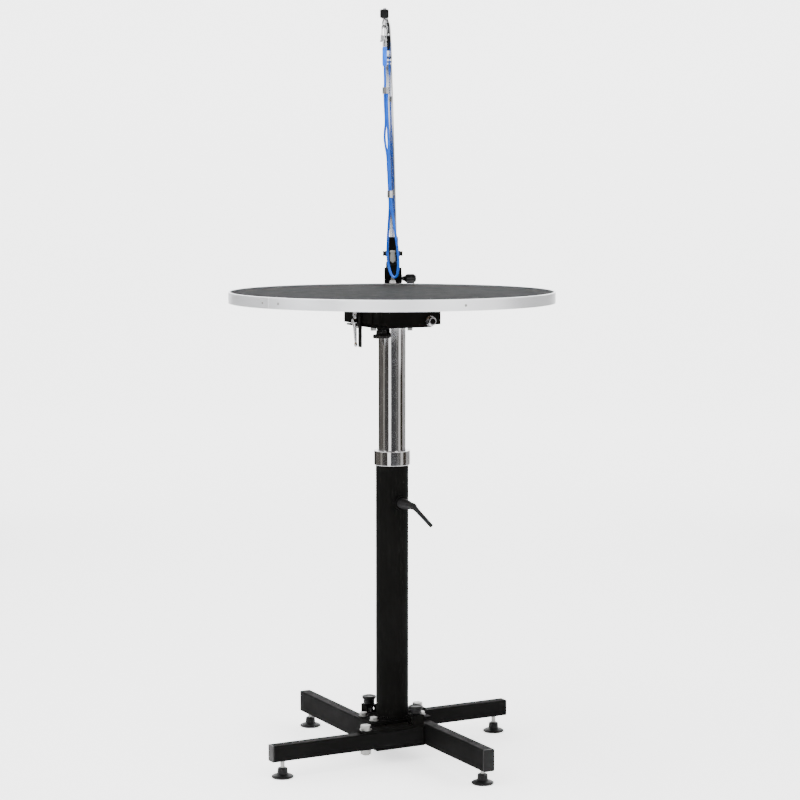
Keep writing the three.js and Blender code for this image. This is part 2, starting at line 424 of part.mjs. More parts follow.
// square arm tube: post, bend and bar; what hangs from its end is in a group of its own
const END_X = -Math.tan(THREE.MathUtils.degToRad(LEAN)) * (BAR_Z - LEAN_Z);
const armEnd = new THREE.Group();
armEnd.position.x = END_X;
arm.add(armEnd);
{
  const py = POST_Y - Y0, ye = BAR_END_Y - Y0, zs = BAR_Z - BEND_R, h = POST / 2, w = POST / 2 - POST_WALL;
  // quarter bend in the Y-Z plane made of straight pieces between mitred rings
  const stations = [[py, POST_BOTTOM, 0], [py, LEAN_Z, 0]];
  const N = 8;
  for (let i = 0; i <= N; i++) {
    const a = (i / N) * (Math.PI / 2);
    stations.push([py - BEND_R + BEND_R * Math.cos(a), zs + BEND_R * Math.sin(a), a]);
  }
  stations.push([ye, BAR_Z, Math.PI / 2]);
  // a ring of section points at each station: outline's first axis is X, its second the outward normal of the bend
  function ringAt([y, z, a], o) {
    const lean = -Math.tan(THREE.MathUtils.degToRad(LEAN)) * Math.max(0, z - LEAN_Z);
    return o.map(([x, n]) => new THREE.Vector3(x + lean, y + n * Math.cos(a), z + n * Math.sin(a)));
  }
  function loft(o) {
    const rings = stations.map((s) => ringAt(s, o));
    const pos = [], idx = [];
    rings.forEach((r) => r.forEach((p) => pos.push(p.x, p.y, p.z)));
    const m = o.length;
    for (let i = 0; i + 1 < rings.length; i++) for (let k = 0; k < m; k++) {
      const a = i * m + k, b = i * m + ((k + 1) % m), c = a + m, d = b + m;
      idx.push(a, b, d, a, d, c);
    }
    const tris = THREE.ShapeUtils.triangulateShape(o.map(([x, y]) => new THREE.Vector2(x, y)), []);
    const last = (rings.length - 1) * m;
    for (const [a, b, c] of tris) { idx.push(a, c, b); idx.push(last + a, last + b, last + c); }
    return facingOut(new THREE.BufferGeometry().setAttribute("position", new THREE.Float32BufferAttribute(pos, 3)).setIndex(idx));
  }
  const outer = loft(rect(-h, h, -h, h, 1.6)), inner = loft(rect(-w, w, -w, w, 0.8));
  // the bore runs out of both ends
  const bore = add(inner, box(-w, w, py - w, py + w, POST_BOTTOM - 2, POST_BOTTOM + 20), box(-w, w, ye - 2, ye + 20, BAR_Z - w, BAR_Z + w).translate(END_X, 0, 0));
  mesh("arm_tube", cut(outer, bore, rod(2.2, BAR_Z - 10, BAR_Z + 10, 12).translate(END_X, ye + 12, 0)), CHROME, arm);
  const e = h + 1.1;
  mesh("arm_end_cap", add(slabY(rect(-e, e, BAR_Z - e, BAR_Z + e, 2.2), ye - 3.4, ye - GAP), box(-w + GAP, w - GAP, ye - 1, ye + 8.2, BAR_Z - w + GAP, BAR_Z + w - GAP)), PLASTIC, armEnd);
}
const EYE_Y = BAR_END_Y + 12 - Y0;
const SNAP_TURN = THREE.MathUtils.degToRad(-62); // the eye and the snap are turned about the vertical
// eye bolt under the bar: shank through the bar, ring below
{
  const low = BAR_Z - POST / 2; // underside of the bar
  const torus = new THREE.TorusGeometry(7.6, 1.6, 8, 20).rotateX(Math.PI / 2).rotateZ(SNAP_TURN);
  const ringG = facingOut(torus).translate(0, EYE_Y, low - 1.9 - 7.6);
  mesh("eye_bolt", add(ringG, rod(1.8, low - 3, BAR_Z + POST / 2 + 1, 12).translate(0, EYE_Y, 0), rod(4.4, low - 1.8, low - GAP, 16).translate(0, EYE_Y, 0),
    hex(6, BAR_Z + POST / 2 + GAP, BAR_Z + POST / 2 + 4.6).translate(0, EYE_Y, 0)), CHROME, armEnd);
}
// bolt snap: hook through the eye, closed by a sliding bolt, with a barrel below
const EYE_LOW = BAR_Z - POST / 2 - 1.9 - 15.2 + 1.6; // top of the eye ring's lowest wire
const SNAP = EYE_LOW + 0.4; // underside of the hook's crown
const SNAP_LOW = SNAP + 1.5 - 24, SLEEVE_1 = SNAP_LOW - 15.3, SLEEVE_0 = SLEEVE_1 - 35;
{
  const w = 1.5, hw = 5.4, top = SNAP + w, low = SNAP_LOW;
  // crown and one long side; the other side is closed by the sliding bolt
  const pts = [[0, -hw + 1.2, top - 6.4], [0, -hw, top - 4.6]];
  for (let i = 0; i <= 8; i++) { const a = Math.PI - (i / 8) * Math.PI; pts.push([0, hw * Math.cos(a), top - 4 + 4 * Math.sin(a)]); }
  pts.push([0, hw, top - 14], [0, hw * 0.75, low + 3], [0, 2, low - 1], [0, 0, low - 3]);
  const hook = sweep(circle(w, 8), pts, 28);
  const barrel = turn([[0, low - 15], [3.4, low - 15], [3.8, low - 14], [3.8, low - 7], [2.4, low - 6], [2.4, low - 5], [4.2, low - 4.4], [4.2, low - 1.4], [3.2, low + 1], [0, low + 1]], 16);
  const guide = box(-2, 2, -7.4, -1, low - 2.4, low + 6);
  const snap = cut(add(hook, barrel, guide), rod(1.25, low - 9, low + 12, 10).translate(0, -5.4, 0));
  mesh("bolt_snap", at(snap.rotateZ(SNAP_TURN), 0, EYE_Y, 0), CHROME, armEnd);
  const bolt = add(rod(0.95, low - 4.8, top - 7.4, 10).translate(0, -5.4, 0), box(-1.4, 1.4, -9, -4.4, low - 6.4, low - 2.8));
  mesh("snap_bolt", at(bolt.rotateZ(SNAP_TURN), 0, EYE_Y, 0), CHROME, armEnd);
  // sleeve that holds the cord's end below the barrel
  const s1 = SLEEVE_1, s0 = SLEEVE_0;
  mesh("noose_sleeve", at(cut(turn([[0, s0], [3.6, s0], [4.4, s0 + 3], [4.4, s1 - 1.4], [3.6, s1], [0, s1]], 20), rod(CORD_D / 2 + 0.3, s0 - 1, s0 + 12, 14)), 0, EYE_Y, 0), BLUE, armEnd);
}
// ---------------------------------------------------------------- noose cord and its slider
// route of the cord's centre line in the arm's frame, from inside the sleeve, down, round the loop and back up to the crimp
export const cordRoute = [];
{
  const top = SLEEVE_0; // lower face of the sleeve
  const CX = (z) => 17.6 * Math.pow((top - z) / (top - 888), 1.15); // sideways set of the cord as it hangs
  const K = 2.55; // half the distance between the two strands
  const dirOf = (z) => THREE.MathUtils.degToRad(38 + 18 * Math.min(1, Math.max(0, (1240 - z) / 190)));
  const P = (z, off, fwd = 0) => {
    const a = dirOf(z);
    return [CX(z) + off * Math.cos(a) + fwd * Math.sin(a), EYE_Y - off * Math.sin(a) + fwd * Math.cos(a), z];
  };
  cordRoute.push([0, EYE_Y, top + 9], [0, EYE_Y, top + 3], P(top - 12, 0), P(1250, -0.4), P(1236, -1.6), P(1222, -K));
  for (const [z, o] of [[1200, -K], [1175, -K - 0.4], [1160, -K - 3.4], [1146, -K - 5], [1130, -K - 3], [1115, -K - 0.3], [1095, -K], [1075, -K], [1055, -K], [1035, -K], [1015, -K - 1.6], [990, -K - 6.5], [960, -K - 12.5], [930, -K - 16.5], [906, -K - 13.5]]) cordRoute.push(P(z, o));
  cordRoute.push(P(892, -K - 6), P(887.5, 1), P(891, K + 7));
  for (const [z, o] of [[906, K + 13], [930, K + 15], [960, K + 11.5], [990, K + 6], [1015, K + 1.6], [1035, K], [1055, K], [1075, K], [1095, K], [1115, K], [1146, K], [1175, K], [1200, K], [1222, K + 0.6], [1234, K + 2.2]]) cordRoute.push(P(z, o));
  const steps = 78;
  mesh("noose_cord", sweep(circle(CORD_D / 2, 8), cordRoute, steps), BLUE, armEnd);
  // slider: a flat metal ring round both strands
  const a = dirOf(1043), L = 2 * K + CORD_D + 1.0, W = CORD_D + 1.0;
  const ovalO = stadium(L + 1.8, W + 1.8), ovalI = stadium(L, W);
  const s = cut(slab(ovalO, 1036.5, 1049.5), slab(ovalI, 1030, 1060));
  s.translate(0, 0, -1043).rotateZ(-a).translate(CX(1043), EYE_Y, 1043);
  mesh("noose_slider", s, CHROME, armEnd);
  // crimp that joins the loop's end to the cord
  mesh("noose_crimp", at(cut(slab(stadium(15.6, 7.4), 1229, 1241).rotateZ(-dirOf(1236)), slab(stadium(13.4, 5.6), 1220, 1250).rotateZ(-dirOf(1236))), CX(1236) + 1.4 * Math.cos(dirOf(1236)), EYE_Y - 1.4 * Math.sin(dirOf(1236)), 0), CHROME, armEnd);
}
function stadium(l, w, n = 6) {
  const out = [], r = w / 2, c = l / 2 - r;
  for (let i = 0; i <= n; i++) { const a = -Math.PI / 2 + (Math.PI * i) / n; out.push([c + r * Math.cos(a), r * Math.sin(a)]); }
  for (let i = 0; i <= n; i++) { const a = Math.PI / 2 + (Math.PI * i) / n; out.push([-c + r * Math.cos(a), r * Math.sin(a)]); }
  return out;
}

export default root;
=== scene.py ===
import bpy, bmesh, math
from mathutils import Vector, Matrix


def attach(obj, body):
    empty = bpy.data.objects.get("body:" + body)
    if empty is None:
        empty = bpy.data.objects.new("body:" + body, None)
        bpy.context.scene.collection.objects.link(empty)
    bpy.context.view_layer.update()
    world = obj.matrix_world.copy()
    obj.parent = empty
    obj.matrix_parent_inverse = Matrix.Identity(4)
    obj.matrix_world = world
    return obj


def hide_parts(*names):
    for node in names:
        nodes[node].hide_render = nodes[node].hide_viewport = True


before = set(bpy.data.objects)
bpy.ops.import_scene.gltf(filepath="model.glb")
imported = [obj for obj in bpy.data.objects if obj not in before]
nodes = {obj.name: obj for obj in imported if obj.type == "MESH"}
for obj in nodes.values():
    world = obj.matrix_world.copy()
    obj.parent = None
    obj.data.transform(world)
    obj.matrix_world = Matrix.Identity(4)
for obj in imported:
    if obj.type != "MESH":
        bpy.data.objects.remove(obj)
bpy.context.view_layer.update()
MM = 0.001
PHI = math.radians(27.85)

# ------------------------------------------------------------------ node helpers
def rgb(h):
    out = []
    for i in (0, 2, 4):
        c = int(h[i:i + 2], 16) / 255
        out.append(c / 12.92 if c <= 0.04045 else ((c + 0.055) / 1.055) ** 2.4)
    return (*out, 1)

class M:
    """A small builder for a Principled material with layered procedural detail."""
    def __init__(self, name, base, metallic=0.0, rough=0.4, **sockets):
        self.m = bpy.data.materials.new(name)
        self.m.use_nodes = True
        self.t = self.m.node_tree
        self.b = self.t.nodes["Principled BSDF"]
        self.b.inputs["Metallic"].default_value = metallic
        self.b.inputs["Roughness"].default_value = rough
        self.b.inputs["Base Color"].default_value = base
        for k, v in sockets.items():
            self.b.inputs[k.replace("_", " ")].default_value = v
        self.co = self.node("ShaderNodeTexCoord").outputs["Object"]
        self.height = None
    def node(self, kind, **props):
        n = self.t.nodes.new(kind)
        for k, v in props.items():
            setattr(n, k, v)
        return n
    def link(self, a, b):
        self.t.links.new(a, b)
    def mapping(self, scale, rot=(0, 0, 0), src=None):
        n = self.node("ShaderNodeMapping")
        n.inputs["Scale"].default_value = scale
        n.inputs["Rotation"].default_value = rot
        self.link(src or self.co, n.inputs["Vector"])
        return n.outputs["Vector"]
    def noise(self, scale, detail=4, rough=0.6, vec=None):
        n = self.node("ShaderNodeTexNoise")
        n.inputs["Scale"].default_value = scale
        n.inputs["Detail"].default_value = detail
        n.inputs["Roughness"].default_value = rough
        self.link(vec or self.co, n.inputs["Vector"])
        return n.outputs["Fac"]
    def ramp(self, fac, stops):
        n = self.node("ShaderNodeValToRGB")
        e = n.color_ramp.elements
        e[0].position, e[0].color = stops[0]
        e[1].position, e[1].color = stops[-1]
        for p, c in stops[1:-1]:
            x = e.new(p)
            x.color = c
        self.link(fac, n.inputs["Fac"])
        return n.outputs["Color"]
    def remap(self, fac, a, b, lo=0.3, hi=0.7):
        n = self.node("ShaderNodeMapRange")
        n.inputs["From Min"].default_value, n.inputs["From Max"].default_value = lo, hi
        n.inputs["To Min"].default_value, n.inputs["To Max"].default_value = a, b
        self.link(fac, n.inputs["Value"])
        return n.outputs["Result"]
    def math(self, op, a, b):
        n = self.node("ShaderNodeMath", operation=op)
        for i, v in enumerate((a, b)):
            if isinstance(v, (int, float)):
                n.inputs[i].default_value = v
            else:
                self.link(v, n.inputs[i])
        return n.outputs[0]
    def mix(self, fac, a, b):
        n = self.node("ShaderNodeMix", data_type="RGBA")
        self.link(fac, n.inputs["Factor"])
        for key, v in (("A", a), ("B", b)):
            s = [i for i in n.inputs if i.name == key and i.type == "RGBA"][0]
            if isinstance(v, tuple):
                s.default_value = v
            else:
                self.link(v, s)
        return [o for o in n.outputs if o.type == "RGBA"][0]
    def color(self, out):
        self.link(out, self.b.inputs["Base Color"])
    def rough(self, out):
        self.link(out, self.b.inputs["Roughness"])
    def bump(self, fac, strength, distance):
        n = self.node("ShaderNodeBump")
        n.inputs["Strength"].default_value = strength
        n.inputs["Distance"].default_value = distance
        self.link(fac, n.inputs["Height"])
        if self.height:
            self.link(self.height, n.inputs["Normal"])
        self.height = n.outputs["Normal"]
        self.link(self.height, self.b.inputs["Normal"])

def dark(c, k):
    return (c[0] * k, c[1] * k, c[2] * k, 1)

def powder(name, base, rough=0.36, spec=0.16):
    m = M(name, base, 0.0, rough, Specular_IOR_Level=spec)
    big = m.noise(9, 5)
    m.color(m.mix(m.remap(big, 0, 1), dark(base, 0.8), dark(base, 1.3)))
    scuff = m.noise(160, 2, 0.5, m.mapping((1, 1, 0.25)))
    m.rough(m.math("ADD", m.remap(m.noise(26, 5), rough - 0.07, rough + 0.09), m.remap(scuff, 0, 0.1, 0.6, 0.85)))
    m.bump(m.noise(1500, 2), 0.18, 0.0002)
    return m.m

def polished(name, base, rough=0.07):
    m = M(name, base, 1.0, rough)
    m.color(m.mix(m.remap(m.noise(14, 4), 0, 1), dark(base, 0.93), base))
    scratch = m.noise(900, 2, 0.5, m.mapping((1, 1, 0.03)))
    m.rough(m.math("ADD", m.remap(m.noise(40, 6), rough - 0.02, rough + 0.03), m.remap(scratch, 0, 0.012, 0.6, 0.85)))
    m.bump(m.noise(3, 2, 0.4, m.mapping((1, 1, 0.3))), 0.35, 0.0003)
    return m.m

def zinc(name, base):
    m = M(name, base, 1.0, 0.36)
    m.color(m.mix(m.remap(m.noise(120, 5), 0, 1), dark(base, 0.78), base))
    m.rough(m.remap(m.noise(300, 4), 0.26, 0.5))
    m.bump(m.noise(900, 3), 0.12, 0.0003)
    return m.m

def plastic(name, base, rough=0.42):
    m = M(name, base, 0.0, rough, Specular_IOR_Level=0.12)
    m.color(m.mix(m.remap(m.noise(30, 4), 0, 1), dark(base, 0.85), dark(base, 1.2)))
    m.rough(m.remap(m.noise(90, 4), rough - 0.06, rough + 0.1))
    v = m.node("ShaderNodeTexVoronoi")
    v.inputs["Scale"].default_value = 1400
    m.link(m.co, v.inputs["Vector"])
    m.bump(v.outputs["Distance"], 0.15, 0.0002)
    return m.m

BLACK = powder("black_powder", (0.0036, 0.0036, 0.0034, 1), 0.42, 0.004)
BLACK_LEG = powder("black_leg", (0.004, 0.004, 0.004, 1), 0.5, 0.009)
BLACK_FLAT = powder("black_flat", (0.001, 0.001, 0.001, 1), 0.5, 0.05)
CHROME = polished("chrome_tube", (0.40, 0.40, 0.407, 1), 0.06)
CHROME_SNAP = polished("chrome_snap", (0.19, 0.19, 0.195, 1), 0.12)
CHROME_SMALL = polished("chrome_small", (0.33, 0.33, 0.34, 1), 0.13)
ZINC = zinc("zinc_plate", (0.23, 0.23, 0.222, 1))
PLASTIC = plastic("black_plastic", (0.003, 0.003, 0.0032, 1))
PLASTIC_SOFT = plastic("knob_plastic", (0.003, 0.003, 0.003, 1), 0.5)
NYLON = plastic("nylon", rgb("e2ded2"), 0.5)

def rubber_mat():
    m = M("rubber_mat", rgb("2e2f30"), 0.0, 0.85, Specular_IOR_Level=0.03)
    big, mid = m.noise(3.2, 5), m.noise(24, 5)
    c = m.mix(m.remap(big, 0, 1), rgb("161718"), rgb("1f2021"))
    m.color(m.mix(m.remap(mid, 0, 0.5), c, rgb("131415")))
    m.rough(m.remap(m.noise(50, 5), 0.72, 0.86))
    for rot in (0.785, -0.785):
        w = m.node("ShaderNodeTexWave", wave_type="BANDS", bands_direction="X")
        w.inputs["Scale"].default_value = 110
        m.link(m.mapping((1, 1, 1), (0, 0, rot)), w.inputs["Vector"])
        m.bump(w.outputs["Fac"], 0.12, 0.0005)
    m.bump(m.noise(900, 3), 0.2, 0.0003)
    return m.m

def aluminium():
    m = M("edge_aluminium", (0.86, 0.87, 0.885, 1), 1.0, 0.3, Anisotropic=0.4)
    lines = m.noise(60, 3, 0.6, m.mapping((1, 1, 90)))
    m.color(m.mix(m.remap(lines, 0, 1), (0.80, 0.81, 0.83, 1), (0.9, 0.905, 0.92, 1)))
    m.rough(m.math("ADD", m.remap(m.noise(9, 5), 0.3, 0.4), m.remap(lines, 0, 0.08)))
    m.bump(lines, 0.05, 0.0002)
    return m.m

def plywood():
    m = M("plywood", rgb("9b7a50"), 0.0, 0.6)
    g = m.noise(14, 6, 0.6, m.mapping((1, 9, 1)))
    m.color(m.ramp(g, [(0.3, rgb("5d452b")), (0.55, rgb("7d6444")), (0.7, rgb("8a7350"))]))
    m.rough(m.remap(m.noise(60, 4), 0.5, 0.7))
    m.bump(g, 0.2, 0.0004)
    return m.m

def braid(name, base):
    m = M(name, base, 0.0, 0.62, Specular_IOR_Level=0.12, Sheen_Weight=0.04, Sheen_Roughness=0.4)
    uv = m.node("ShaderNodeUVMap", uv_map="UVMap").outputs["UV"]
    fac = None
    for rot in (0.785, -0.785):
        w = m.node("ShaderNodeTexWave", wave_type="BANDS", bands_direction="X")
        w.inputs["Scale"].default_value = 1.0
        m.link(m.mapping((2.2, 2.2, 1), (0, 0, rot), uv), w.inputs["Vector"])
        fac = w.outputs["Fac"] if fac is None else m.math("MULTIPLY", fac, w.outputs["Fac"])
    c = m.mix(m.remap(fac, 0, 1, 0.0, 0.7), dark(base, 0.45), dark(base, 1.25))
    fade = m.noise(60, 4)
    m.color(m.mix(m.remap(fade, 0, 0.6), c, (0.008, 0.13, 0.66, 1)))
    m.rough(m.remap(m.noise(700, 3), 0.5, 0.75))
    m.bump(fac, 0.6, 0.0005)
    m.bump(m.noise(2500, 2), 0.3, 0.0002)
    return m.m

MAT = rubber_mat()
ALU = aluminium()
PLY = plywood()
BLUE = braid("blue_braid", (0.0035, 0.075, 0.50, 1))

def sleeve_mat():
    m = M("blue_sleeve", rgb("1c62d6"), 0.0, 0.4, Specular_IOR_Level=0.15)
    n = m.noise(90, 4)
    m.color(m.mix(m.remap(n, 0, 1), (0.003, 0.07, 0.46, 1), (0.008, 0.13, 0.68, 1)))
    m.rough(m.remap(m.noise(300, 3), 0.32, 0.5))
    m.bump(m.noise(600, 3, 0.6, m.mapping((1, 1, 0.1))), 0.35, 0.0004)
    return m.m
SLEEVE = sleeve_mat()

LOOK = {
    "table_mat": MAT, "edge_band": ALU, "table_board": PLY, "guide_bush": NYLON,
    "column_collar": CHROME, "inner_column": CHROME, "arm_tube": CHROME,
    "tilt_nut": CHROME_SMALL, "latch_lever": CHROME_SMALL, "eye_bolt": CHROME_SNAP, "bolt_snap": CHROME_SNAP, "snap_bolt": CHROME_SNAP,
    "noose_slider": CHROME_SMALL, "noose_crimp": CHROME_SMALL, "noose_sleeve": SLEEVE, "noose_cord": BLUE,
    "clamp_lever": PLASTIC_SOFT, "tommy_bar": PLASTIC, "arm_star_knob": PLASTIC, "arm_end_cap": PLASTIC,
    "head_plunger_knob": PLASTIC, "latch_bar": BLACK_FLAT,
}
for n, o in nodes.items():
    if n in LOOK:
        m = LOOK[n]
    elif n.startswith(("plate_bolt", "leg_pivot", "plunger_pin", "plunger_spring", "index_disc", "head_plunger_pin", "latch_lever", "clamp_foot", "clamp_spindle")):
        m = ZINC
    elif n.startswith(("leg_cap", "levelling", "plunger_knob")):
        m = PLASTIC
    elif n.startswith(("fixed_leg", "folding_leg")):
        m = BLACK_LEG
    else:
        m = BLACK
    if o.material_slots:
        for s in o.material_slots:
            s.material = m
    else:
        o.data.materials.append(m)
    me = o.data
    me.polygons.foreach_set("use_smooth", [True] * len(me.polygons))
    if "custom_normal" in me.attributes:
        me.attributes.remove(me.attributes["custom_normal"])
    me.set_sharp_from_angle(angle=math.radians(36))
    w = o.modifiers.new("normals", "WEIGHTED_NORMAL")
    w.keep_sharp = True

def second_look(o, m, test):
    """Faces that pass test(world centre of the face) get the material m."""
    o.data.materials.append(m)
    k = len(o.data.materials) - 1
    for p in o.data.polygons:
        if test(o.matrix_world @ p.center):
            p.material_index = k

def foot_stud(o):
    c = sum(((o.matrix_world @ Vector(b)) for b in o.bound_box), Vector()) / 8
    second_look(o, ZINC, lambda q: math.hypot(q.x - c.x, q.y - c.y) < 0.0043 and q.z > 0.0178)

for n in "abcd":
    if "levelling_foot_" + n in nodes:
        foot_stud(nodes["levelling_foot_" + n])
if "swivel_head" in nodes:
    NUTS = ((-56, -34), (7, -57), (-50, 44), (30, 44))
    second_look(nodes["swivel_head"], ZINC, lambda q: q.z < 0.8029 and any(math.hypot(q.x * 1000 - x, q.y * 1000 - y) < 5.6 for x, y in NUTS))

# ------------------------------------------------------------------ mesh helpers
def finish_mesh(name, bm, m, body, sharp=36, node=None, bevel=0):
    bmesh.ops.recalc_face_normals(bm, faces=bm.faces)
    me = bpy.data.meshes.new(name)
    bm.to_mesh(me)
    bm.free()
    me.polygons.foreach_set("use_smooth", [True] * len(me.polygons))
    me.set_sharp_from_angle(angle=math.radians(sharp))
    o = bpy.data.objects.new(name, me)
    bpy.context.scene.collection.objects.link(o)
    me.materials.append(m)
    if bevel:
        b = o.modifiers.new("bevel", "BEVEL")
        b.width, b.segments, b.limit_method, b.angle_limit = bevel, 2, "ANGLE", math.radians(40)
    w = o.modifiers.new("normals", "WEIGHTED_NORMAL")
    w.keep_sharp = True
    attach(o, body)
    if node:
        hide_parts(*([node] if isinstance(node, str) else node))
    return o

def revolve(bm, profile, seg, mat4=None, radial=None):
    """A solid of revolution from (radius, height) pairs in mm; a pair at radius 0 closes on the axis. radial(i/seg, j) scales a ring's radius."""
    rings = []
    for j, (r, z) in enumerate(profile):
        if r <= 1e-6:
            rings.append([bm.verts.new((0, 0, z * MM))])
        else:
            ring = []
            for i in range(seg):
                a = 2 * math.pi * i / seg
                k = r * (radial(i / seg, j) if radial else 1)
                ring.append(bm.verts.new((k * math.cos(a) * MM, k * math.sin(a) * MM, z * MM)))
            rings.append(ring)
    closed = len(rings[0]) > 1 and len(rings[-1]) > 1
    pairs = list(zip(rings, rings[1:])) + ([(rings[-1], rings[0])] if closed else [])
    for a, b in pairs:
        for i in range(seg):
            k = (i + 1) % seg
            if len(a) == 1 and len(b) == 1:
                break
            if len(a) == 1:
                bm.faces.new((a[0], b[i], b[k]))
            elif len(b) == 1:
                bm.faces.new((a[i], a[k], b[0]))
            else:
                bm.faces.new((a[i], a[k], b[k], b[i]))
    if mat4:
        vs = [v for r in rings for v in r]
        bmesh.ops.transform(bm, matrix=mat4, verts=vs)

def rounded(profile, radius=0.6, steps=3):
    """Rounds each inner corner of an open profile."""
    out = [profile[0]]
    for p, c, n in zip(profile, profile[1:], profile[2:]):
        c_, p_, n_ = Vector(c), Vector(p), Vector(n)
        a, b = (p_ - c_), (n_ - c_)
        r = min(radius, a.length * 0.45, b.length * 0.45)
        if r < 0.05:
            out.append(c)
            continue
        s, e = c_ + a.normalized() * r, c_ + b.normalized() * r
        for k in range(steps + 1):
            t = k / steps
            q = s * (1 - t) ** 2 + c_ * 2 * t * (1 - t) + e * t ** 2
            out.append((q.x, q.y))
    out.append(profile[-1])
    return out

def lathe(name, profile, seg, m, body, node=None, place=None, radial=None, rad=0.6, sharp=50):
    bm = bmesh.new()
    revolve(bm, rounded(profile, rad), seg, place, radial)
    return finish_mesh(name, bm, m, body, sharp, node)

def T(x, y, z=0):
    return Matrix.Translation((x * MM, y * MM, z * MM))

# ------------------------------------------------------------------ sizes shared with the CAD part
MAT_TOP, TABLE_TOP, TABLE_R = 865.1, 866.6, 300.0
ARM_AZ, ARM_TWIST = math.radians(62.0), math.radians(-0.9)
ARM = Matrix.Rotation(ARM_AZ - math.pi / 2, 4, "Z") @ T(0, 300) @ Matrix.Rotation(ARM_TWIST, 4, "Z")
LEAN_Z, LEAN = 976.0, math.tan(math.radians(1.55))
BAR_Z, BEND_R, BAR_END_Y, POST_Y = 1375.0, 80.0, 77.0, 324.5
END_X = -LEAN * (BAR_Z - LEAN_Z)
EYE_Y = BAR_END_Y + 12 - 300
SLEEVE_0 = 1375 - 7 - 1.9 - 15.2 + 1.6 + 0.4 + 1.5 - 24 - 15.3 - 35

# ------------------------------------------------------------------ column, in finer turns than the CAD
lathe("collar_turned", [(30.5, 546.1), (33.7, 546.1), (33.7, 572.9), (25.95, 572.9), (25.95, 570.7), (30.5, 570.7)], 128, CHROME, "base", "column_collar", rad=1.0)
lathe("sliding_tube", [(23.5, 370.2), (25.4, 370.2), (25.4, 799.6), (27, 799.7), (28.5, 801), (28.5, 802.8), (25.4, 802.9), (25.4, 806.1), (23.5, 806.1)], 160, CHROME, "mast", "inner_column", rad=0.25, sharp=40)

# weld bead round the foot of the column
def bead(name, r, z, w, m, body, seed=0.0, seg=220, lumps=46):
    bm = bmesh.new()
    n = 8
    rings = []
    for i in range(seg):
        a = 2 * math.pi * i / seg
        k = 1 + 0.13 * math.sin(lumps * a + seed) + 0.08 * math.sin(17 * a + 2 + seed)
        ring = []
        for j in range(n):
            b = 2 * math.pi * j / n
            rr = r + w * k * math.cos(b)
            ring.append(bm.verts.new((rr * math.cos(a) * MM, rr * math.sin(a) * MM, (z + w * k * math.sin(b)) * MM)))
        rings.append(ring)
    for i in range(seg):
        p, q = rings[i], rings[(i + 1) % seg]
        for j in range(n):
            bm.faces.new((p[j], q[j], q[(j + 1) % n], p[(j + 1) % n]))
    return finish_mesh(name, bm, m, body, 60)
bead("column_weld", 30.4, 73.4, 2.3, BLACK, "base")

# ------------------------------------------------------------------ knobs
def plunger_knob(name, x, y, body, node):
    prof = [(3.4, 85.7), (9.0, 85.7), (10.3, 86.9), (10.5, 92.6), (10.1, 94.2), (12.3, 95.4), (13.0, 96.6), (13.0, 99.8), (12.2, 100.9), (10.4, 101), (9.2, 99.9), (5, 99.3), (0, 99.2)]
    bm = bmesh.new()
    revolve(bm, [(0, 86.2)] + rounded(prof, 0.8), 72, T(x, y))
    return finish_mesh(name, bm, PLASTIC, body, 60, node)
plunger_knob("pull_knob_a", 20, -56, "plunger_a", "plunger_knob_a")
plunger_knob("pull_knob_c", -20, 56, "plunger_c", "plunger_knob_c")
lathe("fluted_knob", [(0, 782.6), (13.6, 782.6), (15.3, 783.6), (15.3, 788.4), (14.2, 789.6), (9.6, 789.9), (9.3, 796.2), (8.5, 797.2), (0, 797.2)], 144, PLASTIC, "head_plunger", "head_plunger_knob",
      T(-36, -27), lambda t, j: 1 + (0.028 * math.cos(2 * math.pi * t * 18)), rad=0.8)

# ------------------------------------------------------------------ edge band: finer rim, joint and rivets
def rim_point(px, z):
    """Where the rim at height z is seen in column px of the picture."""
    best = None
    for k in range(-900, 901):
        a = k * math.pi / 1800
        X, Y = 300 * math.sin(a), -300 * math.cos(a)
        th = math.radians(5.746)
        fw = (Y + 4083.077) * math.cos(th) - (z - 1076.497) * math.sin(th)
        e = abs(400 + 2224.318 * (X - 14.693) / fw - px)
        if best is None or e < best[0]:
            best = (e, math.atan2(Y, X) - 0.0)
    return best[1] - PHI  # azimuth in the row frame
lathe("rim_band", [(298.4, 846.25), (300, 846.25), (300, 866.1), (299.5, 866.6), (296.6, 866.6), (296.6, 865.45), (298.4, 865.4)], 256, ALU, "top", "edge_band", rad=0.35, sharp=30)
def rivet(name, az, z, r=2.4):
    place = Matrix.Rotation(az, 4, "Z") @ T(299.7, 0, z) @ Matrix.Rotation(math.pi / 2, 4, "Y")
    bm = bmesh.new()
    revolve(bm, rounded([(0, -0.4), (r, -0.4), (r, 0.25), (r * 0.75, 0.9), (r * 0.35, 1.2), (0, 1.25)], 0.3), 28, place)
    return finish_mesh(name, bm, ZINC, "top", 60)
az1, az2, az3 = rim_point(262.4, 856), rim_point(278.0, 856), rim_point(465.8, 856)
for i, a in enumerate((az1, az2, az3)):
    rivet(f"rim_rivet_{i + 1}", a, 856)
azs = rim_point(268.5, 856)
bm = bmesh.new()
for side in (-1, 1):
    a0, a1 = azs + side * 0.0006, azs + side * 0.0022
    vs = []
    for a in (a0, a1):
        for z in (847.2, 865.6):
            for r in (299.9, 300.5):
                vs.append(bm.verts.new((r * math.cos(a) * MM, r * math.sin(a) * MM, z * MM)))
    for f in ((0, 1, 3, 2), (4, 6, 7, 5), (0, 4, 5, 1), (2, 3, 7, 6), (0, 2, 6, 4), (1, 5, 7, 3)):
        bm.faces.new([vs[i] for i in f])
finish_mesh("rim_joint", bm, ALU, "top", 40, bevel=0.0002)

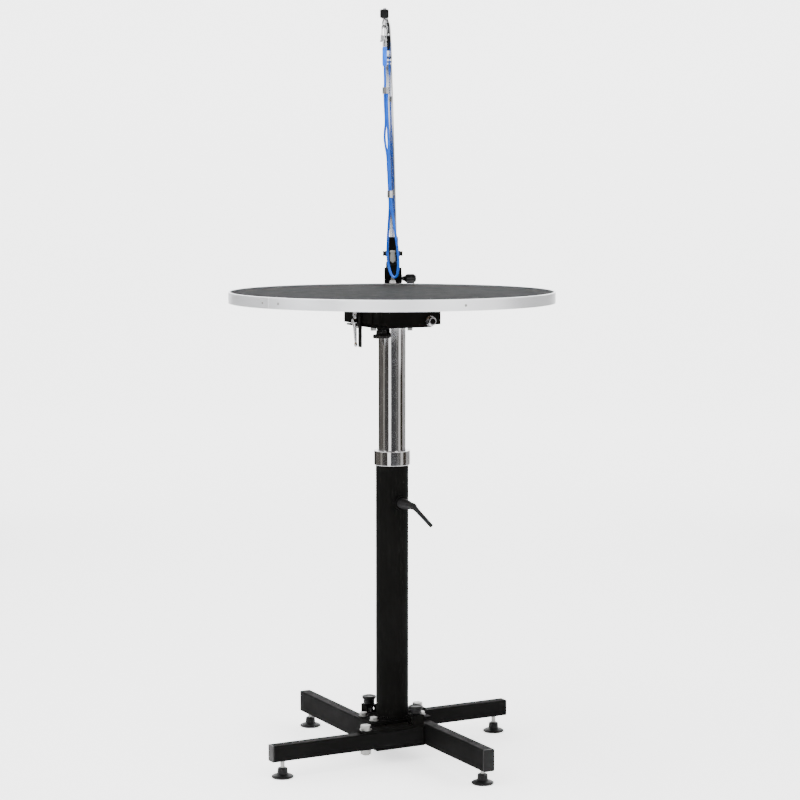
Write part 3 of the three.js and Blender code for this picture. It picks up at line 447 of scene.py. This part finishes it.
# ------------------------------------------------------------------ square arm tube with a smooth bend
def rounded_square(h, r, n=5):
    pts = []
    for cx_, cy_, a0 in ((h - r, h - r, 0), (-h + r, h - r, 90), (-h + r, -h + r, 180), (h - r, -h + r, 270)):
        for k in range(n):
            a = math.radians(a0 + 90 * k / (n - 1))
            pts.append((cx_ + r * math.cos(a), cy_ + r * math.sin(a)))
    return pts
py, ye, zs = POST_Y - 300, BAR_END_Y - 300, BAR_Z - BEND_R
stations = [(py, z, 0.0) for z in (800.2, 880, 970, 976, 982, 1080, 1180, zs - 1)]
stations += [(py - BEND_R + BEND_R * math.cos(a), zs + BEND_R * math.sin(a), a) for a in [math.pi / 2 * k / 32 for k in range(33)]]
stations += [(py - BEND_R - 2, BAR_Z, math.pi / 2), (ye + 60, BAR_Z, math.pi / 2), (ye + 0.1, BAR_Z, math.pi / 2)]
bm = bmesh.new()
sec = rounded_square(7.0, 1.9)
prev = None
for y, z, a in stations:
    lean = -LEAN * max(0, z - LEAN_Z)
    flat = 1 - 0.05 * math.sin(2 * a)
    ring = [bm.verts.new(((x + lean) * MM, (y + n * flat * math.cos(a)) * MM, (z + n * flat * math.sin(a)) * MM)) for x, n in sec]
    if prev:
        for i in range(len(sec)):
            k = (i + 1) % len(sec)
            bm.faces.new((prev[i], prev[k], ring[k], ring[i]))
    else:
        bm.faces.new(ring[::-1])
    prev = ring
bm.faces.new(prev)
bmesh.ops.transform(bm, matrix=ARM, verts=bm.verts)
finish_mesh("square_arm", bm, CHROME, "arm", 40, "arm_tube")

# ------------------------------------------------------------------ noose cord
CORD_D, K = 4.6, 2.55
def CX(z):
    return 17.6 * max(0.0, (SLEEVE_0 - z) / (SLEEVE_0 - 888)) ** 1.15
def dir_of(z):
    return math.radians(38 + 18 * min(1, max(0, (1240 - z) / 190)))
def P(z, off):
    a = dir_of(z)
    return (END_X + CX(z) + off * math.cos(a), EYE_Y - off * math.sin(a), z)
route = [(END_X, EYE_Y, SLEEVE_0 + 9), (END_X, EYE_Y, SLEEVE_0 + 3), P(SLEEVE_0 - 12, 0), P(1250, -0.4), P(1236, -1.6), P(1222, -K)]
route += [P(z, o) for z, o in [(1200, -K), (1175, -K - 0.4), (1160, -K - 3.4), (1146, -K - 5), (1130, -K - 3), (1115, -K - 0.3), (1095, -K), (1075, -K), (1055, -K), (1035, -K), (1015, -K - 1.6), (990, -K - 6.5), (960, -K - 12.5), (930, -K - 16.5), (906, -K - 13.5)]]
route += [P(892, -K - 6), P(887.5, 1), P(891, K + 7)]
route += [P(z, o) for z, o in [(906, K + 13), (930, K + 15), (960, K + 11.5), (990, K + 6), (1015, K + 1.6), (1035, K), (1055, K), (1075, K), (1095, K), (1115, K), (1146, K), (1175, K), (1200, K), (1222, K + 0.6), (1234, K + 2.2)]]
def catmull(pts, per=14):
    pts = [Vector(p) for p in pts]
    ext = [pts[0] * 2 - pts[1]] + pts + [pts[-1] * 2 - pts[-2]]
    out = []
    for i in range(1, len(ext) - 2):
        p0, p1, p2, p3 = ext[i - 1:i + 3]
        t0 = 0
        t1 = t0 + (p1 - p0).length ** 0.5
        t2 = t1 + (p2 - p1).length ** 0.5
        t3 = t2 + (p3 - p2).length ** 0.5
        for s in range(per):
            t = t1 + (t2 - t1) * s / per
            a1 = p0 * ((t1 - t) / (t1 - t0)) + p1 * ((t - t0) / (t1 - t0))
            a2 = p1 * ((t2 - t) / (t2 - t1)) + p2 * ((t - t1) / (t2 - t1))
            a3 = p2 * ((t3 - t) / (t3 - t2)) + p3 * ((t - t2) / (t3 - t2))
            b1 = a1 * ((t2 - t) / (t2 - t0)) + a2 * ((t - t0) / (t2 - t0))
            b2 = a2 * ((t3 - t) / (t3 - t1)) + a3 * ((t - t1) / (t3 - t1))
            out.append(b1 * ((t2 - t) / (t2 - t1)) + b2 * ((t - t1) / (t2 - t1)))
    out.append(pts[-1])
    return out
line = [ARM @ (p * MM) for p in catmull(route)]
def tube(name, line, r, m, body, n=16):
    bm = bmesh.new()
    uv = bm.loops.layers.uv.new("UVMap")
    up = Vector((1, 0, 0))
    rings, dist = [], [0.0]
    for a, b in zip(line, line[1:]):
        dist.append(dist[-1] + (b - a).length)
    for i, p in enumerate(line):
        t = (line[min(i + 1, len(line) - 1)] - line[max(i - 1, 0)]).normalized()
        x = (up - t * up.dot(t)).normalized()
        up = x
        y = t.cross(x)
        rings.append([bm.verts.new(p + (x * math.cos(2 * math.pi * j / n) + y * math.sin(2 * math.pi * j / n)) * r) for j in range(n)])
    for i in range(len(rings) - 1):
        for j in range(n):
            k = (j + 1) % n
            f = bm.faces.new((rings[i][j], rings[i][k], rings[i + 1][k], rings[i + 1][j]))
            for l, (d_, a_) in zip(f.loops, ((dist[i], j), (dist[i], j + 1), (dist[i + 1], j + 1), (dist[i + 1], j))):
                l[uv].uv = (d_ / (2 * math.pi * r), a_ / n)
    bm.faces.new(rings[0][::-1])
    bm.faces.new(rings[-1])
    return finish_mesh(name, bm, m, body, 70)
cord = tube("noose_braid", line, CORD_D / 2 * MM, BLUE, "noose")
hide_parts("noose_cord")

# ------------------------------------------------------------------ camera, light and studio
cam_data = bpy.data.cameras.new("camera")
cam_data.lens, cam_data.sensor_width = 100.1, 36
cam = bpy.data.objects.new("camera", cam_data)
bpy.context.scene.collection.objects.link(cam)
def from_cam(x, y, z):
    """Camera-aligned millimetres (x right, y away, z up) to the row frame in metres."""
    return Vector((x * math.cos(PHI) + y * math.sin(PHI), -x * math.sin(PHI) + y * math.cos(PHI), z)) * MM
cam.location = from_cam(14.693, -4083.077, 1076.497)
cam.rotation_euler = (math.radians(90 - 5.746), 0, -PHI)
bpy.context.scene.camera = cam

def stage_mat(name, c, rough=0.9):
    m = bpy.data.materials.new(name)
    m.use_nodes = True
    b = m.node_tree.nodes["Principled BSDF"]
    b.inputs["Base Color"].default_value = c
    b.inputs["Roughness"].default_value = rough
    b.inputs["Specular IOR Level"].default_value = 0.0
    return m
# floor that runs up into a backdrop
bm = bmesh.new()
prof = [(5400 + 1600 * math.sin(a), 1600 - 1600 * math.cos(a)) for a in [math.pi / 2 * k / 16 for k in range(17)]] + [(7000, 9000)]
middle = bm.verts.new((0, 0, 0))
rows = [[bm.verts.new((r * MM * math.cos(a), r * MM * math.sin(a), z * MM)) for a in [2 * math.pi * k / 96 for k in range(96)]] for r, z in prof]
for k in range(96):
    bm.faces.new((middle, rows[0][k], rows[0][(k + 1) % 96]))
    for a, b in zip(rows, rows[1:]):
        bm.faces.new((a[k], b[k], b[(k + 1) % 96], a[(k + 1) % 96]))
me = bpy.data.meshes.new("sweep")
bm.to_mesh(me)
me.polygons.foreach_set("use_smooth", [True] * len(me.polygons))
floor = bpy.data.objects.new("sweep", me)
paper = stage_mat("paper", (0.93, 0.93, 0.93, 1))
paper.node_tree.nodes["Principled BSDF"].inputs["Emission Color"].default_value = (1, 1, 1, 1)
paper.node_tree.nodes["Principled BSDF"].inputs["Emission Strength"].default_value = 1.45
paper.cycles.emission_sampling = "NONE"
me.materials.append(paper)
bpy.context.scene.collection.objects.link(floor)
def arc(name, az0, az1, z0, z1, c, dist=4550):
    """A curved flag standing round the object; az 0 is behind the camera, positive to the right."""
    bm = bmesh.new()
    rows = []
    for k in range(13):
        a = math.radians(az0 + (az1 - az0) * k / 12)
        rows.append([bm.verts.new(from_cam(dist * math.sin(a), -dist * math.cos(a), z)) for z in (z0, z1)])
    for p, q in zip(rows, rows[1:]):
        bm.faces.new((p[0], q[0], q[1], p[1]))
    me = bpy.data.meshes.new(name)
    bm.to_mesh(me)
    o = bpy.data.objects.new(name, me)
    me.materials.append(stage_mat(name, c))
    bpy.context.scene.collection.objects.link(o)
    o.visible_camera = False
    return o
arc("flag_left_edge", -152, -122, 2, 590, (0.03, 0.028, 0.026, 1), 3300)
arc("flag_left_1", -122, -78, 2, 590, (0.085, 0.078, 0.07, 1), 3300)
arc("flag_left_2", -78, -63, 2, 590, (0.20, 0.19, 0.175, 1), 3300)
arc("flag_left_3", -63, -28, 2, 590, (0.045, 0.042, 0.04, 1), 3300)
arc("flag_front", -8, 32, 2, 590, (0.05, 0.05, 0.052, 1), 3300)
arc("flag_mid", 32, 56, 2, 590, (0.10, 0.098, 0.095, 1), 3300)
arc("flag_light", 56, 74, 2, 590, (0.42, 0.41, 0.40, 1), 3300)
arc("flag_right", 74, 98, 2, 590, (0.035, 0.028, 0.022, 1), 3300)
arc("flag_right_edge", 98, 152, 2, 590, (0.26, 0.255, 0.25, 1), 3300)
arc("flag_side_left", -152, -30, 610, 1500, (0.15, 0.15, 0.153, 1), 3600)
arc("flag_side_right", 50, 152, 600, 1500, (0.06, 0.06, 0.06, 1), 3600)
arc("flag_post", -24, 24, 850, 1270, (0.05, 0.05, 0.05, 1))
arc("flag_high", -24, 24, 1480, 3000, (0.09, 0.09, 0.09, 1))

world = bpy.data.worlds.new("studio")
world.use_nodes = True
world.node_tree.nodes["Background"].inputs["Color"].default_value = (1, 1, 1, 1)
world.node_tree.nodes["Background"].inputs["Strength"].default_value = 0.95
bpy.context.scene.world = world
def area(name, loc, target, size, power, c=(1, 1, 1)):
    l = bpy.data.lights.new(name, "AREA")
    l.shape, l.size, l.size_y, l.energy, l.color = "RECTANGLE", size[0], size[1], power, c
    o = bpy.data.objects.new(name, l)
    o.location = from_cam(*loc)
    d = from_cam(*target) - o.location
    o.rotation_euler = d.to_track_quat("-Z", "Y").to_euler()
    bpy.context.scene.collection.objects.link(o)
    return o
area("top_box", (-600, -400, 3600), (0, 0, 600), (2.6, 2.2), 110)
area("left_box", (-2600, -1500, 1500), (0, 0, 600), (1.0, 2.0), 20, (0.94, 0.97, 1.0))
area("right_box", (2700, -900, 1500), (0, 0, 600), (1.2, 2.2), 12)
